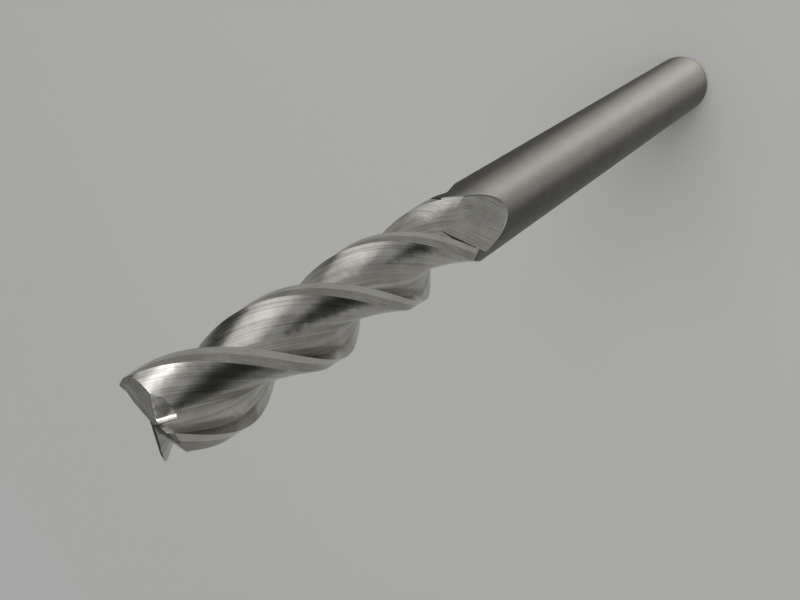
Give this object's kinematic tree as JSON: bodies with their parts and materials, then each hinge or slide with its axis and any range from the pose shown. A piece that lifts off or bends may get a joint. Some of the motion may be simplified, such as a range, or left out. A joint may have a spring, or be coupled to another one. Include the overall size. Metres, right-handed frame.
{
  "type": "end mill",
  "caption": "Solid end mill with a plain round shank, steep right-hand helical flutes that run out at the shank, relieved lands, and gashed square end teeth.",
  "frame": {"origin": "centre of the flat shank end", "axes": "+Z along the tool axis from the shank end toward the end teeth; +X toward the corner of the first tooth"},
  "size_m": [0.0096, 0.0096, 0.1016],
  "materials": {
    "ground_tool": "bright fine-ground uncoated tool surface"
  },
  "bodies": {
    "root": {"endmill": "ground_tool"}
  },
  "joints": []
}
